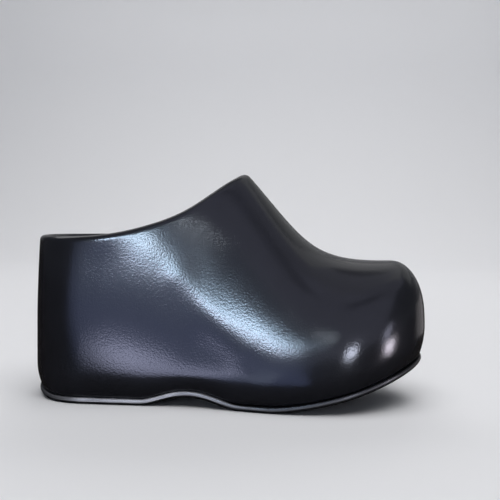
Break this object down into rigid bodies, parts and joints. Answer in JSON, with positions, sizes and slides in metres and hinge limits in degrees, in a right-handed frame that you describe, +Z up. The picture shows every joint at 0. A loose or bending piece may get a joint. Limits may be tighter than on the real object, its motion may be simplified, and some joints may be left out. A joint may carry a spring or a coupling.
{
  "type": "platform clog",
  "caption": "Closed platform clog for the right foot: one seamless leather upper drawn down over a hidden platform, rolled collar, thin arched outsole.",
  "frame": {"origin": "middle of the part's bounding box, on the floor the shoe stands on", "axes": "+X from heel to toe, +Y to the medial side of the foot, +Z up"},
  "size_m": [0.268, 0.104, 0.1533],
  "materials": {
    "upper_leather": "smooth black leather, semi-gloss, with fine grain",
    "sole_rubber": "black rubber with a buffed edge",
    "platform_foam": "matte closed-cell foam, hidden by the upper",
    "insole_leather": "matte black lining leather"
  },
  "bodies": {
    "root": {"upper": "upper_leather", "outsole": "sole_rubber", "platform": "platform_foam", "insole": "insole_leather"}
  },
  "joints": []
}
